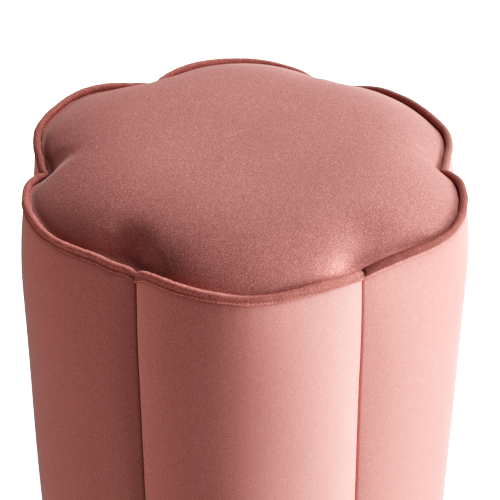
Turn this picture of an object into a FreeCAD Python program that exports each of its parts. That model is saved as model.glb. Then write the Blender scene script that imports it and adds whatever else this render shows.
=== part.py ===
"""Six-lobed velvet pouf: a plywood and batten frame, foam, velvet covers and a welt."""

import FreeCAD, Part
import math
import os
import re
import Sketcher

Vector = FreeCAD.Vector

lobes = 6
turn = 360 / lobes
half_turn = turn / 2
# The front lobe points along -Y, and the lobes are numbered counterclockwise seen from above.
front = -90

# Driving sizes in millimetres: name, value and what it measures.
sizes = [
    ("lobe_offset", 75, "middle of the pouf to the upright axis of a lobe"),
    ("welt_lobe_radius", 125, "axis of a lobe to the middle line of the welt"),
    ("welt_valley_radius", 6, "bend of the welt's middle line in a valley"),
    ("glide_height", 9.2, "floor to the underside of the dust cover"),
    ("base_board_thickness", 18, "plywood"),
    ("post_length", 356, "between the two boards"),
    ("seat_board_thickness", 15, "plywood"),
    ("rim_height", 14, "top of the seat board to the seam under the welt"),
    ("crown_height", 35, "welt's tail to the top of the seat cover"),
    ("shell_thickness", 3, "bent board behind each lobe"),
    ("side_foam_thickness", 14, "at the widest height"),
    ("wadding_thickness", 7, "between seat foam and seat cover"),
    ("velvet_thickness", 1.2, "pile and backing"),
    ("dust_cover_thickness", 0.6, "non-woven sheet"),
    ("top_overhang", 2, "top edge of a side panel beyond the welt's middle line"),
    ("widest_overhang", 9.3, "side panel at its widest beyond the welt's middle line"),
    ("foot_overhang", 6, "side panel at the base beyond the welt's middle line"),
    ("widest_drop", 90, "seam to the height where a side panel is widest"),
    ("foot_round", 8, "bend of a side panel under the base"),
    ("hem_width", 40, "velvet turned under the base board"),
    ("dust_cover_inset", 4, "edge of the base board to the edge of the dust cover"),
    ("post_width", 36, "batten, across"),
    ("post_depth", 30, "batten, from its inner face to the bottom of its notch"),
    ("welt_radius", 3.6, "outside of the wrapped welt"),
    ("welt_tail_width", 6, "seam allowance of the welt, turned inwards"),
    ("board_screw_radius", 2.5, "shank"),
    ("board_screw_head_radius", 5, "countersunk head"),
    ("board_screw_head_height", 3, "countersunk head"),
    ("board_screw_length", 50, "head to point"),
    ("board_screw_point", 5, "tapered end"),
    ("glide_radius", 13, "plastic glide, where it meets the base"),
    ("glide_foot_radius", 10.5, "face that stands on the floor"),
    ("glide_edge", 3, "upright edge of the glide"),
    ("glide_recess_radius", 4.6, "recess for the screw head"),
    ("glide_recess_depth", 4.6, "recess for the screw head"),
    ("glide_inset", 24, "edge of the base board to the middle of a glide"),
    ("glide_screw_radius", 1.7, "shank"),
    ("glide_screw_head_radius", 3.5, "pan head"),
    ("glide_screw_head_height", 2.2, "pan head"),
    ("glide_screw_length", 19, "under the head"),
    ("glide_screw_point", 3, "tapered end"),
    ("staple_crown", 10, "length of a staple's crown"),
    ("staple_wire_width", 1.2, "flat wire"),
    ("staple_wire_thickness", 0.7, "flat wire"),
    ("staple_leg", 8, "under the crown"),
    ("staple_inset", 9, "edge of the base board to the staples"),
    ("soft_gap", 0.3, "clearance between soft layers"),
    ("wood_gap", 0.2, "clearance between a board's edge and a bent board"),
    ("screw_gap", 0.2, "clearance round a screw or a staple"),
    ("overrun", 1, "how far a cut runs past the face that it leaves"),
]

# Places and sizes worked out from the driving ones.
worked_out = {
    "valley_cos": f"cos({half_turn:g} deg)",
    "valley_sin": f"sin({half_turn:g} deg)",
    "valley_tan": f"tan({half_turn:g} deg)",
    "hem_level": "glide_height + dust_cover_thickness",
    "board_level": "hem_level + velvet_thickness",
    "post_level": "board_level + base_board_thickness",
    "seat_board_level": "post_level + post_length",
    "frame_top": "seat_board_level + seat_board_thickness",
    "seam_level": "frame_top + rim_height",
    "seat_rim_level": "seam_level + velvet_thickness",
    "welt_level": "seam_level + welt_radius",
    "widest_level": "seam_level - widest_drop",
    "widest_radius": "welt_lobe_radius + widest_overhang",
    "top_swell": "widest_overhang - top_overhang",
    "foot_swell": "widest_overhang - foot_overhang",
    "foot_drop": "widest_level - hem_level",
    "top_curve_radius": "(widest_drop^2 + top_swell^2) / (2 * top_swell)",
    "foot_curve_radius": "(foot_drop^2 + foot_swell^2) / (2 * foot_swell)",
    "side_foam_outset": "velvet_thickness + soft_gap",
    "shell_outer_radius": "widest_radius - side_foam_outset - side_foam_thickness - soft_gap",
    "shell_inner_radius": "shell_outer_radius - shell_thickness",
    "board_lobe_radius": "shell_inner_radius - wood_gap",
    "side_foam_inner_radius": "shell_outer_radius + soft_gap",
    "hem_radius": "board_lobe_radius - hem_width",
    "dust_cover_radius": "board_lobe_radius - dust_cover_inset",
    "seat_rim_radius": "welt_lobe_radius - welt_radius - soft_gap",
    "valley_lift": "lobe_offset * valley_sin",
    "notch_reach": "lobe_offset * valley_cos + sqrt(board_lobe_radius^2 - valley_lift^2)",
    "post_inner_face": "notch_reach - post_depth",
    "post_middle": "notch_reach - post_depth / 2",
    "post_side_reach": "lobe_offset * valley_cos"
    " + sqrt(board_lobe_radius^2 - (valley_lift - post_width / 2)^2)",
    "glide_middle": "lobe_offset + board_lobe_radius - glide_inset",
    "glide_bore_radius": "glide_screw_radius + screw_gap",
    "staple_radius": "board_lobe_radius - staple_inset",
    "valley_axis_reach": "lobe_offset * valley_cos"
    " + sqrt((welt_lobe_radius + welt_valley_radius)^2 - valley_lift^2)",
    "welt_lobe_angle": "2 * atan2(valley_axis_reach * valley_sin;"
    " valley_axis_reach * valley_cos - lobe_offset)",
    "welt_valley_angle": "2 * atan2(valley_lift; valley_axis_reach - lobe_offset * valley_cos)",
    "welt_bore_radius": "welt_radius - velvet_thickness",
    "welt_cord_radius": "welt_bore_radius - soft_gap",
    "seat_plinth_radius": "side_foam_inner_radius - soft_gap",
    "wadding_layer": "velvet_thickness + soft_gap",
    "foam_layer": "wadding_layer + wadding_thickness",
    "far_side": "lobe_offset + widest_radius + overrun",
    "trim_shift": "soft_gap / 2 / valley_cos",
}

# The crown's sections from the rim to the middle, as shares: of the rim's outline, of the rise, and the bend
# in a valley as a share of the lobe's radius. The outlines shrink as a cosine does over even steps, the rise
# falls short of 1 by the outline's share to the fourth power, and the valleys soften towards the middle.
crown_size_shares = (1, 0.978, 0.914, 0.809, 0.669, 0.5, 0.309, 0.105)
crown_rise_shares = (0, 0.085, 0.302, 0.572, 0.8, 0.937, 0.991, 1)
crown_valley_shares = (0.08, 0.12, 0.23, 0.4, 0.59, 0.77, 0.91, 0.99)

# Directions of a lobe's staples about the lobe's own axis, and how far a side piece is swept
# round that axis before the valley planes trim it.
staple_directions = (-40, -14, 14, 40)
side_sweep = 160

doc = FreeCAD.newDocument("pouf")
sheet = doc.addObject("Spreadsheet::Sheet", "Dims")
for row, (name, number, note) in enumerate(sizes, 1):
    sheet.set(f"A{row}", name)
    sheet.set(f"B{row}", str(number))
    sheet.set(f"C{row}", note)
    sheet.setAlias(f"B{row}", name)
doc.recompute()

driving = {name for name, number, note in sizes}
nodes = []


def formula(text):
    """The text with its names of sizes turned into the sheet's, and worked-out names written out."""
    def written_out(match):
        word = match.group()
        if word in driving:
            return f"Dims.{word}"
        if word in worked_out:
            return f"({formula(worked_out[word])})"
        return word
    return re.sub(r"[a-z][a-z_]+", written_out, text)


def number_of(text):
    """What a formula comes to with the sizes as they are."""
    return float(sheet.evalExpression(formula(text)))


def new_body(label, direction=0):
    """An empty piece, turned about the pouf's middle so that its own +X points in the direction."""
    body = doc.addObject("PartDesign::Body", label)
    body.Label = label
    body.Placement = FreeCAD.Placement(Vector(), Vector(0, 0, 1), direction)
    nodes.append(body)
    return body


def origin_feature(body, role):
    return next(item for item in body.Origin.OriginFeatures if item.Role == role)


def flat_sketch(body, label, level):
    """A sketch on a level plane at a height given by a formula."""
    sketch = body.newObject("Sketcher::SketchObject", label)
    sketch.AttachmentSupport = [(origin_feature(body, "XY_Plane"), "")]
    sketch.MapMode = "FlatFace"
    sketch.setExpression("AttachmentOffset.Base.z", formula(level))
    return sketch


def upright_sketch(body, label, reach, level="0", direction=0):
    """A sketch on an upright plane through the pouf's middle that faces along the direction. Its origin lies
    at the reach from the middle, so what is turned about its upright axis is turned about that place."""
    sketch = body.newObject("Sketcher::SketchObject", label)
    sketch.AttachmentSupport = [(origin_feature(body, "XZ_Plane"), "")]
    sketch.MapMode = "FlatFace"
    sketch.AttachmentOffset = FreeCAD.Placement(Vector(), Vector(0, 1, 0), direction)
    sketch.setExpression("AttachmentOffset.Base.x", formula(f"({reach}) * cos({direction:g} deg)"))
    sketch.setExpression("AttachmentOffset.Base.y", formula(level))
    sketch.setExpression("AttachmentOffset.Base.z", formula(f"-({reach}) * sin({direction:g} deg)"))
    return sketch


def bind(sketch, kind, *rest):
    """A sketch dimension held by a formula, which comes last."""
    *places, text = rest
    index = sketch.addConstraint(Sketcher.Constraint(kind, *places, number_of(text)))
    sketch.setExpression(f"Constraints[{index}]", formula(text))


def pin_point(sketch, piece, end, across, up):
    """Holds one point of a sketch at two formulas, measured from the sketch's origin."""
    bind(sketch, "DistanceX", -1, 1, piece, end, across)
    bind(sketch, "DistanceY", -1, 1, piece, end, up)


def add_outline(sketch, corners):
    """A closed outline of straight lines through corners given as pairs of formulas."""
    points = [Vector(number_of(across), number_of(up), 0) for across, up in corners]
    lines = []
    for start, end in zip(points, points[1:] + points[:1]):
        lines.append(sketch.addGeometry(Part.LineSegment(start, end)))
    for line, (across, up) in zip(lines, corners):
        pin_point(sketch, line, 1, across, up)
    for line, following in zip(lines, lines[1:] + lines[:1]):
        sketch.addConstraint(Sketcher.Constraint("Coincident", line, 2, following, 1))


def add_circle(sketch, radius, across="0", up="0"):
    middle = Vector(number_of(across), number_of(up), 0)
    circle = sketch.addGeometry(Part.Circle(middle, Vector(0, 0, 1), number_of(radius)))
    pin_point(sketch, circle, 3, across, up)
    bind(sketch, "Radius", circle, radius)


def add_arc(sketch, middle, radius, start, end):
    """An arc about a middle point, between two angles in radians, counterclockwise."""
    circle = Part.Circle(Vector(middle[0], middle[1], 0), Vector(0, 0, 1), radius)
    return sketch.addGeometry(Part.ArcOfCircle(circle, start, end))


def add_lobe_arcs(sketch, offset, radius, half_angle):
    """The outer arcs of a six-lobed outline, about lobe axes that lie at the offset, all of one radius."""
    arcs = []
    far, size = number_of(offset), number_of(radius)
    for lobe in range(lobes):
        direction = math.radians(turn * lobe)
        middle = (far * math.cos(direction), far * math.sin(direction))
        arcs.append(add_arc(sketch, middle, size, direction - half_angle, direction + half_angle))
        pin_point(sketch, arcs[-1], 3, f"({offset}) * cos({turn * lobe:g} deg)",
                  f"({offset}) * sin({turn * lobe:g} deg)")
    bind(sketch, "Radius", arcs[0], radius)
    for arc in arcs[1:]:
        sketch.addConstraint(Sketcher.Constraint("Equal", arcs[0], arc))
    return arcs


def valley_corner(offset, radius):
    """Where two lobes' circles cross, and how far a lobe's arc turns to reach that point."""
    reach = offset * math.cos(math.radians(half_turn))
    lift = offset * math.sin(math.radians(half_turn))
    reach += math.sqrt(radius**2 - lift**2)
    return reach, math.atan2(reach * math.sin(math.radians(half_turn)),
                             reach * math.cos(math.radians(half_turn)) - offset)


def add_sharp_flower(sketch, radius):
    """A six-lobed outline whose arcs meet in a corner at each valley, as a board is sawn."""
    reach, half_angle = valley_corner(number_of("lobe_offset"), number_of(radius))
    arcs = add_lobe_arcs(sketch, "lobe_offset", radius, half_angle)
    for arc, following in zip(arcs, arcs[1:] + arcs[:1]):
        sketch.addConstraint(Sketcher.Constraint("Coincident", arc, 2, following, 1))


def add_soft_flower(sketch, offset, radius, valley_radius):
    """A six-lobed outline whose arcs run into each other through a tangent arc at each valley."""
    far, near = number_of(offset), number_of(valley_radius)
    reach, half_angle = valley_corner(far, number_of(radius) + near)
    arcs = add_lobe_arcs(sketch, offset, radius, half_angle)
    half_bend = math.atan2(far * math.sin(math.radians(half_turn)),
                           reach - far * math.cos(math.radians(half_turn)))
    bends = []
    for lobe in range(lobes):
        direction = math.radians(turn * lobe + half_turn)
        middle = (reach * math.cos(direction), reach * math.sin(direction))
        inwards = direction + math.pi
        bends.append(add_arc(sketch, middle, near, inwards - half_bend, inwards + half_bend))
    bind(sketch, "Radius", bends[0], valley_radius)
    for bend in bends[1:]:
        sketch.addConstraint(Sketcher.Constraint("Equal", bends[0], bend))
    for lobe in range(lobes):
        sketch.addConstraint(Sketcher.Constraint("Tangent", arcs[lobe], 2, bends[lobe], 2))
        following = arcs[(lobe + 1) % lobes]
        sketch.addConstraint(Sketcher.Constraint("Tangent", bends[lobe], 1, following, 1))


def pad(body, sketch, length):
    feature = body.newObject("PartDesign::Pad", f"{sketch.Label}_pad")
    feature.Profile = sketch
    feature.setExpression("Length", formula(length))
    return feature


def pocket(body, sketch, depth, upward=False):
    feature = body.newObject("PartDesign::Pocket", f"{sketch.Label}_pocket")
    feature.Profile = sketch
    feature.setExpression("Length", formula(depth))
    feature.Reversed = upward
    return feature


def revolve(body, sketch, angle="360 deg", cut=False):
    """The sketch turned about its own upright axis, equally to both sides."""
    kind = "Groove" if cut else "Revolution"
    feature = body.newObject(f"PartDesign::{kind}", f"{sketch.Label}_{kind.lower()}")
    feature.Profile = sketch
    feature.ReferenceAxis = (sketch, ["V_Axis"])
    feature.Midplane = True
    feature.setExpression("Angle", formula(angle))
    return feature


def repeat_round(body, *features):
    """The features once for each lobe, about the pouf's middle."""
    pattern = body.newObject("PartDesign::PolarPattern", f"{features[-1].Label}_round")
    pattern.Originals = list(features)
    pattern.Axis = (origin_feature(body, "Z_Axis"), [""])
    pattern.Angle = 360
    pattern.Occurrences = lobes
    body.Tip = pattern


def board_screw_outline(grown="0", head_up=True):
    """Half of a countersunk wood screw, or of its bore, from the middle of its head's top."""
    sign = "" if head_up else "-"
    corners = [
        ("0", f"{grown}"),
        (f"board_screw_head_radius + {grown}", f"{grown}"),
        (f"board_screw_radius + {grown}", "-board_screw_head_height"),
        (f"board_screw_radius + {grown}", "board_screw_point - board_screw_length"),
        ("0", f"-board_screw_length - {grown}"),
    ]
    return [(across, f"{sign}({up})") for across, up in corners]


def staple_corners(direction, start, end, half_width):
    """A staple's rectangle seen from above: across the lobe's outline by the half width, and along it
    from start to end."""
    turned = f"cos({direction:g} deg)", f"sin({direction:g} deg)"
    corners = []
    for side, along in (("-", start), ("+", start), ("+", end), ("-", end)):
        outwards = f"(staple_radius {side} ({half_width}))"
        corners.append((f"lobe_offset + {outwards} * {turned[0]} - ({along}) * {turned[1]}",
                        f"{outwards} * {turned[1]} + ({along}) * {turned[0]}"))
    return corners


def add_staple_legs(sketch, grown="0"):
    """The legs of a lobe's staples, or their slots where grown is a clearance."""
    half_width = f"staple_wire_width / 2 + {grown}"
    outer = f"staple_crown / 2 + {grown}"
    inner = f"staple_crown / 2 - staple_wire_thickness - {grown}"
    for direction in staple_directions:
        add_outline(sketch, staple_corners(direction, f"-({outer})", f"-({inner})", half_width))
        add_outline(sketch, staple_corners(direction, inner, outer, half_width))


def add_barrel(sketch, inset, inner_radius, top):
    """Half section of a lobe's swelling side, drawn from the lobe's axis: bulged between the seam and the
    widest height, gently drawn in below it and rounded under the base. The inset moves it inwards."""
    middle_across = number_of("widest_radius")
    widest = number_of("widest_level")
    top_radius = number_of(f"top_curve_radius - ({inset})")
    foot_radius = number_of(f"foot_curve_radius - ({inset})")
    round_radius = number_of(f"foot_round - ({inset})")
    top_middle = (middle_across - number_of("top_curve_radius"), widest)
    foot_middle = (middle_across - number_of("foot_curve_radius"), widest)
    top_end = math.asin((number_of(top) - widest) / top_radius)
    fall = math.asin((widest - number_of("hem_level + foot_round")) / (foot_radius - round_radius))
    round_middle = (foot_middle[0] + (foot_radius - round_radius) * math.cos(fall),
                    number_of("hem_level + foot_round"))
    upper = add_arc(sketch, top_middle, top_radius, 0, top_end)
    lower = add_arc(sketch, foot_middle, foot_radius, -fall, 0)
    rounding = add_arc(sketch, round_middle, round_radius, -math.pi / 2, -fall)
    bottom = f"hem_level + ({inset})"
    inner_top = Vector(number_of(inner_radius), number_of(top), 0)
    inner_bottom = Vector(number_of(inner_radius), number_of(bottom), 0)
    outer_top = Vector(top_middle[0] + top_radius * math.cos(top_end), number_of(top), 0)
    outer_bottom = Vector(round_middle[0], number_of(bottom), 0)
    top_line = sketch.addGeometry(Part.LineSegment(outer_top, inner_top))
    inner_line = sketch.addGeometry(Part.LineSegment(inner_top, inner_bottom))
    bottom_line = sketch.addGeometry(Part.LineSegment(inner_bottom, outer_bottom))
    pin_point(sketch, upper, 3, "widest_radius - top_curve_radius", "widest_level")
    pin_point(sketch, upper, 1, f"widest_radius - ({inset})", "widest_level")
    pin_point(sketch, lower, 3, "widest_radius - foot_curve_radius", "widest_level")
    bind(sketch, "Radius", rounding, f"foot_round - ({inset})")
    sketch.addConstraint(Sketcher.Constraint("Coincident", lower, 2, upper, 1))
    sketch.addConstraint(Sketcher.Constraint("Tangent", lower, 1, rounding, 2))
    sketch.addConstraint(Sketcher.Constraint("Coincident", upper, 2, top_line, 1))
    sketch.addConstraint(Sketcher.Constraint("Horizontal", top_line))
    pin_point(sketch, top_line, 2, inner_radius, top)
    sketch.addConstraint(Sketcher.Constraint("Coincident", top_line, 2, inner_line, 1))
    pin_point(sketch, inner_line, 2, inner_radius, bottom)
    sketch.addConstraint(Sketcher.Constraint("Coincident", inner_line, 2, bottom_line, 1))
    sketch.addConstraint(Sketcher.Constraint("Horizontal", bottom_line))
    sketch.addConstraint(Sketcher.Constraint("Tangent", bottom_line, 2, rounding, 1))


def trim_to_valleys(body):
    """Cuts a side piece off at the two upright planes through its valleys, half a clearance short of them."""
    sketch = flat_sketch(body, f"{body.Label}_ends", "0")
    near_edge = "lobe_offset * valley_tan - trim_shift"
    far_edge = "far_side * valley_tan - trim_shift"
    corners = [("lobe_offset", near_edge), ("far_side", far_edge), ("far_side", "far_side"),
               ("lobe_offset", "far_side")]
    add_outline(sketch, corners)
    add_outline(sketch, [(across, f"-({up})") for across, up in corners])
    cut = body.newObject("PartDesign::Pocket", f"{body.Label}_trim")
    cut.Profile = sketch
    cut.Type = "ThroughAll"
    cut.Midplane = True


def crown_sections(body, label, layer):
    """Outlines of the seat from its rim to its middle. The layer is how deep under the velvet they lie."""
    sections = []
    shares = zip(crown_size_shares, crown_rise_shares, crown_valley_shares)
    for size_share, rise_share, valley_share in shares:
        level = f"seat_rim_level + (crown_height - ({layer})) * {rise_share}"
        sketch = flat_sketch(body, f"{label}_{len(sections)}", level)
        radius = f"(seat_rim_radius - ({layer})) * {size_share}"
        add_soft_flower(sketch, f"lobe_offset * {size_share}", radius, f"{radius} * {valley_share}")
        sections.append(sketch)
    return sections


def loft(body, sections, cut=False):
    kind = "SubtractiveLoft" if cut else "AdditiveLoft"
    feature = body.newObject(f"PartDesign::{kind}", f"{sections[0].Label}_loft")
    feature.Profile = sections[0]
    feature.Sections = sections[1:]
    feature.Refine = False
    return feature


def add_welt_section(sketch, across):
    """The wrapped strip cut across: a ring with its tail along the underside, towards the pouf's middle."""
    middle = number_of(across), 0
    radius, tail_top = number_of("welt_radius"), number_of("velvet_thickness - welt_radius")
    join = math.pi - math.asin(tail_top / radius)
    ring = add_arc(sketch, middle, radius, -math.pi / 2, join)
    tail_end = f"{across} - welt_tail_width"
    inner_up = Vector(number_of(tail_end), tail_top, 0)
    inner_down = Vector(number_of(tail_end), -radius, 0)
    ring_join = Vector(middle[0] + radius * math.cos(join), tail_top, 0)
    top_line = sketch.addGeometry(Part.LineSegment(ring_join, inner_up))
    end_line = sketch.addGeometry(Part.LineSegment(inner_up, inner_down))
    under_line = sketch.addGeometry(Part.LineSegment(inner_down, Vector(middle[0], -radius, 0)))
    pin_point(sketch, ring, 3, across, "0")
    bind(sketch, "Radius", ring, "welt_radius")
    sketch.addConstraint(Sketcher.Constraint("Coincident", ring, 2, top_line, 1))
    sketch.addConstraint(Sketcher.Constraint("Horizontal", top_line))
    pin_point(sketch, top_line, 2, tail_end, "velvet_thickness - welt_radius")
    sketch.addConstraint(Sketcher.Constraint("Coincident", top_line, 2, end_line, 1))
    pin_point(sketch, end_line, 2, tail_end, "-welt_radius")
    sketch.addConstraint(Sketcher.Constraint("Coincident", end_line, 2, under_line, 1))
    sketch.addConstraint(Sketcher.Constraint("Tangent", under_line, 2, ring, 1))
    add_circle(sketch, "welt_bore_radius", across)


def add_cord_section(sketch, across):
    add_circle(sketch, "welt_cord_radius", across)


def round_the_welt(body, add_section):
    """Carries a section along the welt's middle line: arcs about the lobes' axes, bends in the valleys."""
    lobe_sketch = upright_sketch(body, f"{body.Label}_lobe", "lobe_offset", "welt_level")
    add_section(lobe_sketch, "welt_lobe_radius")
    lobe_run = revolve(body, lobe_sketch, "welt_lobe_angle")
    valley_sketch = upright_sketch(body, f"{body.Label}_valley", "valley_axis_reach", "welt_level", half_turn)
    add_section(valley_sketch, "-welt_valley_radius")
    valley_run = revolve(body, valley_sketch, "welt_valley_angle")
    repeat_round(body, lobe_run, valley_run)


# Base board: plywood sawn to the six lobes, countersunk from below for the post screws, bored for the
# glide screws and slotted for the staples.
base_board = new_body("base_board", front)
sketch = flat_sketch(base_board, "base_outline", "board_level")
add_sharp_flower(sketch, "board_lobe_radius")
pad(base_board, sketch, "base_board_thickness")
sketch = upright_sketch(base_board, "base_screw_bore", "post_middle", "board_level", half_turn)
add_outline(sketch, board_screw_outline("screw_gap", head_up=False))
screw_bore = revolve(base_board, sketch, cut=True)
sketch = flat_sketch(base_board, "base_glide_bore", "board_level")
add_circle(sketch, "glide_bore_radius", "glide_middle")
glide_bore = pocket(base_board, sketch,
                    "glide_recess_depth + glide_screw_length + screw_gap - board_level", upward=True)
sketch = flat_sketch(base_board, "base_staple_slots", "board_level")
add_staple_legs(sketch, "screw_gap")
slots = pocket(base_board, sketch, "glide_height + staple_leg + screw_gap - board_level", upward=True)
repeat_round(base_board, screw_bore, glide_bore, slots)

# Seat board: the same outline, countersunk from above.
seat_board = new_body("seat_board", front)
sketch = flat_sketch(seat_board, "seat_outline", "seat_board_level")
add_sharp_flower(sketch, "board_lobe_radius")
pad(seat_board, sketch, "seat_board_thickness")
sketch = upright_sketch(seat_board, "seat_screw_bore", "post_middle", "frame_top", half_turn)
add_outline(sketch, board_screw_outline("screw_gap"))
repeat_round(seat_board, revolve(seat_board, sketch, cut=True))


def add_post_section(sketch):
    """A batten seen from above, with the two hollowed faces of its notch following the neighbouring lobes."""
    radius, half_width = number_of("board_lobe_radius"), number_of("post_width / 2")
    lift, reach = number_of("valley_lift"), number_of("lobe_offset * valley_cos")
    notch_angle = math.atan2(lift, number_of("notch_reach") - reach)
    side_angle = math.atan2(lift - half_width, number_of("post_side_reach") - reach)
    left_arc = add_arc(sketch, (reach, lift), radius, -notch_angle, -side_angle)
    right_arc = add_arc(sketch, (reach, -lift), radius, side_angle, notch_angle)
    inner, side = number_of("post_inner_face"), number_of("post_side_reach")
    corners = [Vector(side, half_width, 0), Vector(inner, half_width, 0),
               Vector(inner, -half_width, 0), Vector(side, -half_width, 0)]
    left_line, inner_line, right_line = [
        sketch.addGeometry(Part.LineSegment(start, end)) for start, end in zip(corners, corners[1:])]
    pin_point(sketch, left_arc, 3, "lobe_offset * valley_cos", "valley_lift")
    pin_point(sketch, right_arc, 3, "lobe_offset * valley_cos", "-valley_lift")
    bind(sketch, "Radius", left_arc, "board_lobe_radius")
    sketch.addConstraint(Sketcher.Constraint("Equal", left_arc, right_arc))
    sketch.addConstraint(Sketcher.Constraint("Coincident", left_arc, 1, right_arc, 2))
    sketch.addConstraint(Sketcher.Constraint("Coincident", left_arc, 2, left_line, 1))
    sketch.addConstraint(Sketcher.Constraint("Coincident", right_arc, 1, right_line, 2))
    sketch.addConstraint(Sketcher.Constraint("Horizontal", left_line))
    sketch.addConstraint(Sketcher.Constraint("Horizontal", right_line))
    sketch.addConstraint(Sketcher.Constraint("Coincident", left_line, 2, inner_line, 1))
    sketch.addConstraint(Sketcher.Constraint("Coincident", inner_line, 2, right_line, 1))
    pin_point(sketch, inner_line, 1, "post_inner_face", "post_width / 2")
    pin_point(sketch, inner_line, 2, "post_inner_face", "-post_width / 2")


# Posts: one behind each valley, with a pilot bore in each end.
for lobe in range(lobes):
    post = new_body(f"post_{lobe + 1}", front + half_turn + turn * lobe)
    sketch = flat_sketch(post, f"post_{lobe + 1}_section", "post_level")
    add_post_section(sketch)
    pad(post, sketch, "post_length")
    sketch = flat_sketch(post, f"post_{lobe + 1}_lower_bore", "post_level")
    add_circle(sketch, "board_screw_radius + screw_gap", "post_middle")
    pocket(post, sketch, "board_screw_length - base_board_thickness + screw_gap", upward=True)
    sketch = flat_sketch(post, f"post_{lobe + 1}_upper_bore", "seat_board_level")
    add_circle(sketch, "board_screw_radius + screw_gap", "post_middle")
    pocket(post, sketch, "board_screw_length - seat_board_thickness + screw_gap")

# Countersunk screws, up through the base board and down through the seat board.
board_screws = (("base_board_screws", "board_level", False), ("seat_board_screws", "frame_top", True))
for label, level, head_up in board_screws:
    screws = new_body(label, front)
    sketch = upright_sketch(screws, f"{label}_outline", "post_middle", level, half_turn)
    add_outline(sketch, board_screw_outline(head_up=head_up))
    repeat_round(screws, revolve(screws, sketch))

# Side pieces of each lobe, from the inside out: bent board, foam and velvet panel with its hem.
for lobe in range(lobes):
    shell = new_body(f"side_shell_{lobe + 1}", front + turn * lobe)
    sketch = upright_sketch(shell, f"side_shell_{lobe + 1}_section", "lobe_offset")
    add_outline(sketch, [
        ("shell_inner_radius", "board_level"),
        ("shell_outer_radius", "board_level"),
        ("shell_outer_radius", "frame_top"),
        ("shell_inner_radius", "frame_top"),
    ])
    revolve(shell, sketch, f"{side_sweep} deg")
    trim_to_valleys(shell)

    foam = new_body(f"side_foam_{lobe + 1}", front + turn * lobe)
    sketch = upright_sketch(foam, f"side_foam_{lobe + 1}_section", "lobe_offset")
    add_barrel(sketch, "side_foam_outset", "side_foam_inner_radius", "seam_level")
    revolve(foam, sketch, f"{side_sweep} deg")
    trim_to_valleys(foam)

    cover = new_body(f"side_cover_{lobe + 1}", front + turn * lobe)
    sketch = upright_sketch(cover, f"side_cover_{lobe + 1}_outside", "lobe_offset")
    add_barrel(sketch, "0", "hem_radius", "seam_level")
    revolve(cover, sketch, f"{side_sweep} deg")
    sketch = upright_sketch(cover, f"side_cover_{lobe + 1}_inside", "lobe_offset")
    add_barrel(sketch, "velvet_thickness", "hem_radius - overrun", "seam_level + overrun")
    revolve(cover, sketch, f"{side_sweep} deg", cut=True)
    trim_to_valleys(cover)
    sketch = flat_sketch(cover, f"side_cover_{lobe + 1}_holes", "hem_level")
    add_circle(sketch, "glide_bore_radius", "glide_middle")
    add_staple_legs(sketch, "screw_gap")
    pocket(cover, sketch, "velvet_thickness + overrun", upward=True)

# Seat: a foam block whose plinth stands inside the side foams, wadding over its crown, and the velvet.
seat_foam = new_body("seat_foam", front)
sketch = flat_sketch(seat_foam, "seat_plinth", "frame_top")
add_sharp_flower(sketch, "seat_plinth_radius")
pad(seat_foam, sketch, "seat_rim_level - frame_top")
loft(seat_foam, crown_sections(seat_foam, "foam_crown", "foam_layer + soft_gap"))

seat_wadding = new_body("seat_wadding", front)
loft(seat_wadding, crown_sections(seat_wadding, "wadding_top", "wadding_layer"))
loft(seat_wadding, crown_sections(seat_wadding, "wadding_underside", "foam_layer"), cut=True)

seat_cover = new_body("seat_cover", front)
loft(seat_cover, crown_sections(seat_cover, "cover_top", "0"))
loft(seat_cover, crown_sections(seat_cover, "cover_underside", "velvet_thickness"), cut=True)

# Welt: a velvet strip wrapped round a cord.
round_the_welt(new_body("welt_cover", front), add_welt_section)
round_the_welt(new_body("welt_cord", front), add_cord_section)

# Dust cover: a thin sheet over the hems, with holes for the glide screws and the staples.
dust_cover = new_body("dust_cover", front)
sketch = flat_sketch(dust_cover, "dust_cover_outline", "glide_height")
add_sharp_flower(sketch, "dust_cover_radius")
pad(dust_cover, sketch, "dust_cover_thickness")
sketch = flat_sketch(dust_cover, "dust_cover_holes", "glide_height")
add_circle(sketch, "glide_bore_radius", "glide_middle")
add_staple_legs(sketch, "screw_gap")
repeat_round(dust_cover, pocket(dust_cover, sketch, "dust_cover_thickness + overrun", upward=True))

# Staples: crowns under the dust cover, legs up through it and the hems into the base board.
staples = new_body("base_staples", front)
sketch = flat_sketch(staples, "staple_crowns", "glide_height - staple_wire_thickness")
for direction in staple_directions:
    crown_end = "staple_crown / 2"
    add_outline(sketch, staple_corners(direction, f"-{crown_end}", crown_end, "staple_wire_width / 2"))
crowns = pad(staples, sketch, "staple_wire_thickness")
sketch = flat_sketch(staples, "staple_legs", "glide_height")
add_staple_legs(sketch)
repeat_round(staples, crowns, pad(staples, sketch, "staple_leg"))

# Glides: plastic feet that taper to the floor, with a recess for the screw head.
for lobe in range(lobes):
    glide = new_body(f"glide_{lobe + 1}", front + turn * lobe)
    sketch = upright_sketch(glide, f"glide_{lobe + 1}_section", "glide_middle")
    add_outline(sketch, [
        ("glide_bore_radius", "glide_height"),
        ("glide_radius", "glide_height"),
        ("glide_radius", "glide_height - glide_edge"),
        ("glide_foot_radius", "0"),
        ("glide_recess_radius", "0"),
        ("glide_recess_radius", "glide_recess_depth"),
        ("glide_bore_radius", "glide_recess_depth"),
    ])
    revolve(glide, sketch)

glide_screws = new_body("glide_screws", front)
sketch = upright_sketch(glide_screws, "glide_screw_section", "glide_middle", "glide_recess_depth")
add_outline(sketch, [
    ("0", "-glide_screw_head_height"),
    ("glide_screw_head_radius", "-glide_screw_head_height"),
    ("glide_screw_head_radius", "0"),
    ("glide_screw_radius", "0"),
    ("glide_screw_radius", "glide_screw_length - glide_screw_point"),
    ("0", "glide_screw_length"),
])
repeat_round(glide_screws, revolve(glide_screws, sketch))

doc.recompute()

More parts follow.
